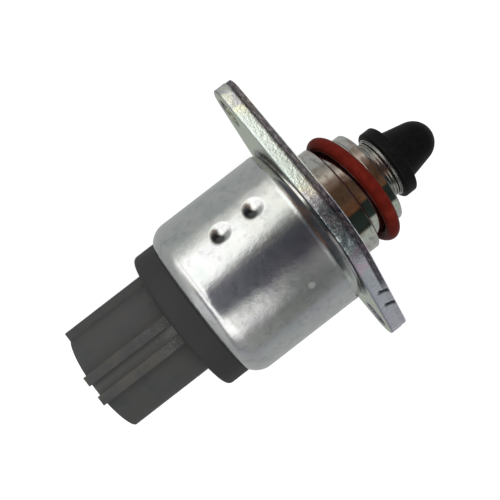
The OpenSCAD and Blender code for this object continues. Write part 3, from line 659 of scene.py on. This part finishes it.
tin = Finish("tinned_brass", Metallic=1.0)
tin_cloud = tin.grain(1.5, 3, 0.6)
tin.set(Base_Color=tin.ramp(tin_cloud, (0.35, (0.62, 0.58, 0.48)), (0.6, (0.72, 0.7, 0.64))),
        Roughness=tin_cloud.step(0.3, 0.7, 0.22, 0.38))
tin.bump(tin_cloud, 0.01)
for k in range(1, 7):
    eased_copy(f"terminal_{k}", f"terminal_pin_{k}", tin, "housing", 0.08)


# Pintle
# The pintle is moulded in black plastic on the end of the screw: a collar with eased
# edges, a short taper and a round tip.
COLLAR_X, COLLAR_FRONT, COLLAR_R = 14.35, 17.15, 7.68
TIP_X, TIP_R, TAPER = 26.5, 4.42, 12
tip_centre = TIP_X + 0.1 - TIP_R
tangent = (tip_centre + TIP_R * math.sin(math.radians(TAPER)), TIP_R * math.cos(math.radians(TAPER)))
root_r = tangent[1] + (tangent[0] - COLLAR_FRONT) * math.tan(math.radians(TAPER))
pintle_path = Path((COLLAR_X, 0, 2.05)).line((COLLAR_X, 0, COLLAR_R - 0.9))
pintle_path.line((COLLAR_X + 0.15, 0, COLLAR_R - 0.5))
pintle_path.arc((COLLAR_X + 0.65, 0, COLLAR_R - 0.5), 90, 6)
pintle_path.line((COLLAR_FRONT - 0.35, 0, COLLAR_R)).arc((COLLAR_FRONT - 0.35, 0, COLLAR_R - 0.35), 90, 5)
pintle_path.line((COLLAR_FRONT, 0, root_r + 0.4)).arc((COLLAR_FRONT + 0.4, 0, root_r + 0.4), -78, 6)
pintle_path.line((tangent[0], 0, tangent[1]), 8).arc((tip_centre, 0, 0), 90 - TAPER, 14)
pintle_path.line((tip_centre + 0.05, 0, 0)).line((tip_centre + 0.05, 0, 2.05)).close()
pintle = turn(pintle_path.bm, 160)

black = Finish("black_moulding", Roughness=0.45, IOR=1.45, Specular_IOR_Level=0.1)
skin = black.grain(1.2, 4, 0.6)
black.set(Base_Color=black.ramp(skin, (0.35, (0.0028, 0.0028, 0.0028)), (0.7, (0.005, 0.0048, 0.0046))),
          Roughness=skin.step(0.3, 0.7, 0.38, 0.52))
black.bump(skin, 0.012)
piece("pintle_moulding", pintle, black, "plunger", ["pintle"])


# Screw, washer and wiper
# The screw's thread and its two flats are rolled and milled steel. A bright washer backs
# the pintle, and a felt ring wipes the screw in the neck's mouth.
PITCH, CREST_R, THREAD_ROOT_R = 1.6, 2.48, 2.0
SCREW_BACK, SCREW_FRONT, FLATS = -20.75, 14.03, 2.05
THREAD_STEPS = 48
thread_start = SCREW_BACK - 2 * PITCH
screw_path = Path((thread_start, 0, THREAD_ROOT_R))
for forward, r in ((0.3, THREAD_ROOT_R), (0.65, CREST_R), (1.15, CREST_R), (1.5, THREAD_ROOT_R),
                   (PITCH, THREAD_ROOT_R)):
    screw_path.line((thread_start + forward, 0, r))
screw = screw_path.bm
screw_turns = math.ceil((SCREW_FRONT - SCREW_BACK) / PITCH) + 3
bmesh.ops.spin(screw, geom=screw.verts[:] + screw.edges[:], cent=(0, 0, 0), axis=AXIS,
               dvec=AXIS * PITCH / THREAD_STEPS * MM, angle=math.tau * screw_turns,
               steps=THREAD_STEPS * screw_turns, use_merge=False)
bmesh.ops.remove_doubles(screw, verts=screw.verts[:], dist=0.005 * MM)
cuts = [((SCREW_BACK, 0, 0), (-1, 0, 0)), ((SCREW_FRONT, 0, 0), (1, 0, 0)),
        ((0, 0, FLATS), (0, 0, 1)), ((0, 0, -FLATS), (0, 0, -1))]
for co, no in cuts:
    bmesh.ops.bisect_plane(screw, geom=screw.verts[:] + screw.edges[:] + screw.faces[:], dist=1e-7,
                           plane_co=Vector(co) * MM, plane_no=no, clear_outer=True)
    bmesh.ops.holes_fill(screw, edges=[e for e in screw.edges if e.is_boundary], sides=0)
bmesh.ops.recalc_face_normals(screw, faces=screw.faces[:])
stem = section([(SCREW_FRONT - 0.5, 0), (SCREW_FRONT - 0.5, 2.0), (22.2, 2.0), (22.2, 0)])
stem_mesh = bpy.data.meshes.new("stem")
turn(stem, 64).to_mesh(stem_mesh)
screw.from_mesh(stem_mesh)

rolled = Finish("rolled_steel", Metallic=1.0)
oil = rolled.grain(0.7, 3, 0.6)
rolled.set(Base_Color=rolled.ramp(oil, (0.35, (0.4, 0.37, 0.33)), (0.6, (0.58, 0.58, 0.58))),
           Roughness=oil.step(0.3, 0.7, 0.2, 0.34))
rolled.bump(rolled.grain(4, 2, 0.5, stretch=(1, 0.1, 0.1)), 0.01)
piece("thread_screw", screw, rolled, "plunger", ["leadscrew"])

washer = turn(section([(13.9, 2.05), (13.9, 6.5), (14.1, 6.5), (14.1, 6.3), (14.2, 6.3), (14.2, 6.72),
                       (14.4, 6.72), (14.4, 2.05)], rounds=((0.06, (1, 2, 5, 6)),)), 160)
bright = Finish("bright_washer", Metallic=1.0)
lathe = bright.grain(6, 2, 0.5, stretch=(0.2, 1, 1))
bright.set(Base_Color=bright.ramp(lathe, (0.3, (0.42, 0.42, 0.4)), (0.7, (0.56, 0.56, 0.55))),
           Roughness=lathe.step(0.3, 0.7, 0.2, 0.32))
bright.bump(lathe, 0.006)
piece("pintle_washer", washer, bright, "plunger", ["backing_washer"], sharp=10)

felt_ring = turn(section([(10.8, 2.8), (10.8, 4.95), (13.0, 4.95), (13.0, 2.8)],
                         rounds=((0.3, (2, 3)),)), 96)
for v in felt_ring.verts:
    v.co += v.co.normalized() * 0.05 * MM * noise.noise(v.co / MM * 3)
felt = Finish("pressed_felt", Roughness=0.95)
fuzz = felt.grain(5, 4, 0.7)
felt.set(Base_Color=felt.ramp(fuzz, (0.3, (0.3, 0.28, 0.24)), (0.7, (0.55, 0.52, 0.46))))
felt.bump(fuzz, 0.08)
piece("wiper_ring", felt_ring, felt, "housing", ["felt_wiper"])


# Motor's inside
# What the can hides keeps its solids: moulded spools with enamelled wire, zinc plated
# pole plates, a ferrite magnet on a brass hub, two ball bearings, a dished washer, a
# sintered bush and a black seal.
def hidden_finish(name, low, high, metallic, rough, scale, stretch=(1, 1, 1), depth=0.02):
    """A finish that varies between two colours and two roughnesses by one grain."""
    made = Finish(name, Metallic=metallic)
    vary = made.grain(scale, 3, 0.6, stretch=stretch)
    made.set(Base_Color=made.ramp(vary, (0.32, low), (0.68, high)),
             Roughness=vary.step(0.3, 0.7, *rough))
    return made.bump(vary, depth)


WOUND = (1, 0.05, 0.05)
BEARING_PARTS = [f"{end}_{part}" for end in ("front", "rear")
                 for part in ("outer_race", "inner_race", "balls")]
INSIDE = (
    (("front_bobbin", "rear_bobbin"),
     ("spool_nylon", (0.62, 0.58, 0.48), (0.74, 0.7, 0.6), 0, (0.4, 0.55), 1.2)),
    (("front_winding", "rear_winding"),
     ("enamelled_wire", (0.36, 0.11, 0.03), (0.62, 0.25, 0.09), 1, (0.2, 0.4), 5, WOUND, 0.12)),
    ([f"pole_plate_{k}" for k in range(1, 5)],
     ("pole_iron", (0.4, 0.4, 0.42), (0.55, 0.55, 0.56), 1, (0.3, 0.45), 1.4)),
    (("rotor_magnet",), ("ferrite", (0.035, 0.035, 0.04), (0.07, 0.07, 0.075), 0, (0.5, 0.7), 3)),
    (("rotor_hub",), ("hub_brass", (0.5, 0.34, 0.12), (0.66, 0.48, 0.2), 1, (0.2, 0.34), 3, (1, 0.1, 0.1))),
    (BEARING_PARTS,
     ("bearing_steel", (0.5, 0.5, 0.5), (0.64, 0.64, 0.64), 1, (0.1, 0.2), 2, (1, 0.2, 0.2), 0.005)),
    (("dished_washer",), ("spring_steel", (0.3, 0.32, 0.36), (0.46, 0.48, 0.52), 1, (0.25, 0.4), 2)),
    (("guide_bush",), ("sintered_bronze", (0.34, 0.2, 0.08), (0.5, 0.32, 0.14), 1, (0.4, 0.6), 6)),
    (("cap_seal",), ("black_rubber", (0.012, 0.012, 0.012), (0.022, 0.022, 0.022), 0, (0.5, 0.65), 2)),
)
for nodes, values in INSIDE:
    inside_finish = hidden_finish(*values)
    for node in nodes:
        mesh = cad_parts[node].data
        mesh.materials.clear()
        mesh.materials.append(inside_finish.material)


# Camera
# The camera looks down on the valve from close by, tilted with the connector, and is
# rolled so that the axis runs from the lower left to the upper right.
CAMERA_AWAY, CAMERA_X, AIM_X, AIM_UP = 130, -19.4, -16.56, 2.93
TILT, ROLL = math.radians(CONNECTOR_AT), math.radians(37.7)
toward = Vector((0, math.sin(TILT), math.cos(TILT)))
upward = Vector((0, math.cos(TILT), -math.sin(TILT)))
eye = AXIS * CAMERA_X + toward * CAMERA_AWAY
look = (AXIS * AIM_X + upward * AIM_UP - eye).normalized()
right = AXIS * math.cos(ROLL) - upward * math.sin(ROLL)
right = (right - look * right.dot(look)).normalized()
camera = bpy.data.objects.new("camera", bpy.data.cameras.new("camera"))
camera.data.sensor_width, camera.data.lens = 36, 47.0
camera.data.clip_start = 0.01
camera.matrix_world = Matrix.Translation(eye * MM) @ Matrix(
    (right, right.cross(look), -look)).transposed().to_4x4()
bpy.context.scene.collection.objects.link(camera)
bpy.context.scene.camera = camera


# Table and light
# A pale table, soft lamps and a tent of reflector cards that only bright metal sees, with
# a dark gap where the camera stands.
def light_path(finish, name):
    return finish.node("LightPath", {}, {}, out=name)


def stage_finish(name):
    """A finish whose output is kept, to be linked to a stage shader made afterwards."""
    made = Finish(name)
    made.output = made.tree.nodes["Material Output"].inputs["Surface"]
    return made


table = bmesh.new()
bmesh.ops.create_grid(table, x_segments=1, y_segments=1, size=3)
bmesh.ops.translate(table, verts=table.verts[:], vec=(0, 0, -(CAN_R + 0.02) * MM))
table_finish = stage_finish("pale_table")
lit = table_finish.node("BsdfDiffuse", {}, {0: (0.8, 0.8, 0.8, 1)})
half_lit = table_finish.node("BsdfDiffuse", {}, {0: (0.3, 0.3, 0.3, 1)})
glow = table_finish.node("Emission", {}, {0: (1, 1, 1, 1), 1: 0.78})
seen = table_finish.node("AddShader", {}, {0: half_lit, 1: glow})
seen_by = light_path(table_finish, "Is Camera Ray") + light_path(table_finish, "Is Transmission Ray")
grey_glow = table_finish.node("Emission", {}, {0: (0.46, 0.48, 0.47, 1), 1: 1.0})
table_shader = table_finish.node("MixShader", {}, {0: seen_by, 1: lit, 2: seen})
table_shader = table_finish.node("MixShader", {}, {0: light_path(table_finish, "Is Glossy Ray"),
                                                   1: table_shader, 2: grey_glow})
table_finish.tree.links.new(table_shader.socket, table_finish.output)

TENT_R = 300
tent_path = Path((-3000, 0, TENT_R)).line((3000, 0, TENT_R))
tent = turn(tent_path.bm, 96)
tent_finish = stage_finish("reflector_tent")
around = tent_finish.y.maths("ARCTAN2", tent_finish.z) * math.degrees(1) - CONNECTOR_AT
along = tent_finish.x
LOW, HIGH = -120, 120
share = (around - LOW) * (1 / (HIGH - LOW))


def cards_at(*stops):
    """Grey and coloured cards round the tent, each at an angle from the camera's side."""
    return tent_finish.ramp(share, *[((angle - LOW) / (HIGH - LOW), colour) for angle, colour in stops])


can_cards = cards_at((-120, (0.46, 0.48, 0.49)), (-98, (0.42, 0.44, 0.46)), (-87, (0.26, 0.27, 0.26)),
                     (-72, (0.19, 0.2, 0.19)), (-40, (0.16, 0.165, 0.16)), (-26, (0.05, 0.052, 0.07)),
                     (6, (0.05, 0.054, 0.075)), (16, (0.2, 0.19, 0.18)), (30, (0.7, 0.68, 0.62)),
                     (72, (0.9, 0.9, 0.86)), (86, (0.5, 0.5, 0.5)), (120, (0.49, 0.5, 0.49)))
rear_cards = cards_at((-120, (0.5, 0.52, 0.53)), (-60, (0.6, 0.61, 0.61)), (-20, (0.76, 0.77, 0.77)),
                      (20, (0.78, 0.79, 0.79)), (50, (0.6, 0.61, 0.61)), (80, (0.52, 0.53, 0.53)),
                      (120, (0.48, 0.49, 0.49)))
flange_cards = cards_at((-120, (0.4, 0.4, 0.43)), (-90, (0.4, 0.4, 0.44)), (-66, (0.26, 0.26, 0.29)),
                        (-46, (0.42, 0.42, 0.44)), (-32, (0.34, 0.34, 0.36)), (-22, (0.06, 0.065, 0.075)),
                        (12, (0.045, 0.05, 0.055)), (20, (0.3, 0.31, 0.3)), (30, (1.6, 1.63, 1.56)),
                        (74, (1.3, 1.32, 1.26)), (100, (0.46, 0.46, 0.48)))
nose_cards = cards_at((-120, (0.5, 0.55, 0.5)), (-84, (0.5, 0.55, 0.5)), (-77, (0.03, 0.042, 0.036)),
                      (-38, (0.02, 0.03, 0.026)), (-31, (0.2, 0.09, 0.04)), (-17, (0.17, 0.085, 0.045)),
                      (-11, (0.012, 0.012, 0.012)), (13, (0.025, 0.018, 0.015)), (21, (0.14, 0.08, 0.055)),
                      (36, (0.3, 0.23, 0.19)), (47, (0.72, 0.66, 0.58)), (60, (0.42, 0.39, 0.35)),
                      (72, (0.33, 0.33, 0.3)), (100, (0.5, 0.5, 0.47)))
front_cards = cards_at((-120, (0.32, 0.33, 0.34)), (-92, (0.3, 0.31, 0.31)), (-80, (0.09, 0.095, 0.1)),
                       (-30, (0.07, 0.072, 0.08)), (6, (0.05, 0.05, 0.06)), (14, (0.13, 0.08, 0.065)),
                       (22, (0.11, 0.07, 0.055)), (30, (0.08, 0.08, 0.09)), (80, (0.1, 0.105, 0.12)),
                       (96, (0.36, 0.37, 0.37)), (120, (0.38, 0.39, 0.38)))
cards = tent_finish.mix(along.step(-420, -300, 1, 0), can_cards, rear_cards)
cards = tent_finish.mix(along.step(20, 30), cards, flange_cards)
cards = tent_finish.mix(along.step(42, 50), cards, nose_cards)
cards = tent_finish.mix(along.step(110, 135), cards, front_cards)
dim = along.step(-60, 15, 0.2, 0)
cards = tent_finish.mix(dim * around.step(-30, -22) * around.step(12, 20, 1, 0), cards, (0.8, 0.8, 0.86))


def window(low, high, back, front, soft=4, soft_along=6, slant=0):
    """A lit card between two angles and two places along the axis."""
    lean = around - along * slant if slant else around
    across = lean.step(low - soft, low + soft) * around.step(high - soft, high + soft, 1, 0)
    return across * along.step(back - soft_along, back + soft_along) * along.step(
        front - soft_along, front + soft_along, 1, 0)


lower_level = along.step(-70, -12, 1.0, 0.36)
cards = tent_finish.mix(window(-60, -28, -290, -16, 9, 18) * lower_level, cards, (1.75, 1.76, 1.72))
cards = tent_finish.mix(window(21, 63, -150, 2, 5, 6, 0.16), cards, (1.75, 1.77, 1.74))
cards = tent_finish.mix(window(30, 68, 8, 28, 6, 5), cards, (1.6, 1.6, 1.45))
cards = tent_finish.mix(window(-62, 72, -255, -165, 8, 22), cards, (1.7, 1.7, 1.7))
cards = tent_finish.mix(window(-30, 18, 55, 100, 5, 2) * 0.75, cards, (0.13, 0.075, 0.045))
below = window(-88, -62, -290, -30, 6, 20) * 0.5
cards = tent_finish.mix(below, cards, (0.62, 0.63, 0.62))
tent_shader = tent_finish.node("Emission", {}, {0: cards, 1: 1.0})
tent_finish.tree.links.new(tent_shader.socket, tent_finish.output)

for name, bm, finish in (("table_top", table, table_finish), ("reflector_tent", tent, tent_finish)):
    mesh = bpy.data.meshes.new(name)
    bm.to_mesh(mesh)
    bm.free()
    mesh.materials.append(finish.material)
    thing = bpy.data.objects.new(name, mesh)
    bpy.context.scene.collection.objects.link(thing)
tent_object = bpy.data.objects["reflector_tent"]
for ray in ("camera", "diffuse", "transmission", "shadow", "volume_scatter"):
    setattr(tent_object, "visible_" + ray, False)

LAMPS = (
    ("key_lamp", 40, -60, 700, 600, 2.8),
    ("fill_lamp", -45, 40, 700, 600, 3.0),
    ("back_lamp", 20, 260, 800, 400, 1.6),
)
for name, turned_by, x, away, size, watts in LAMPS:
    lamp = bpy.data.objects.new(name, bpy.data.lights.new(name, "AREA"))
    lamp.data.shape, lamp.data.size, lamp.data.energy = "SQUARE", size * MM, watts
    turned_by = math.radians(turned_by)
    direction = toward * math.cos(turned_by) + upward * math.sin(turned_by)
    lamp.location = (AXIS * x + direction * away) * MM
    lamp.rotation_euler = (lamp.location - AXIS * -15 * MM).to_track_quat("Z", "Y").to_euler()
    lamp.visible_glossy = False
    lamp.visible_camera = False
    bpy.context.scene.collection.objects.link(lamp)

world = bpy.data.worlds.new("studio")
bpy.context.scene.world = world
world.use_nodes = True
nodes, links = world.node_tree.nodes, world.node_tree.links
nodes.clear()
rays = nodes.new("ShaderNodeLightPath")
seen = rays.outputs["Is Camera Ray"]
for name in ("Is Glossy Ray", "Is Transmission Ray"):
    either = nodes.new("ShaderNodeMath")
    either.operation = "MAXIMUM"
    links.new(seen, either.inputs[0])
    links.new(rays.outputs[name], either.inputs[1])
    seen = either.outputs[0]
chosen = nodes.new("ShaderNodeMixShader")
links.new(seen, chosen.inputs[0])
for socket, colour, strength in ((1, (0.97, 0.98, 1, 1), 0.62), (2, (1, 1, 1, 1), 1.0)):
    sky = nodes.new("ShaderNodeBackground")
    sky.inputs[0].default_value, sky.inputs[1].default_value = colour, strength
    links.new(sky.outputs[0], chosen.inputs[socket])
links.new(chosen.outputs[0], nodes.new("ShaderNodeOutputWorld").inputs[0])
bpy.context.scene.view_settings.view_transform = "Standard"
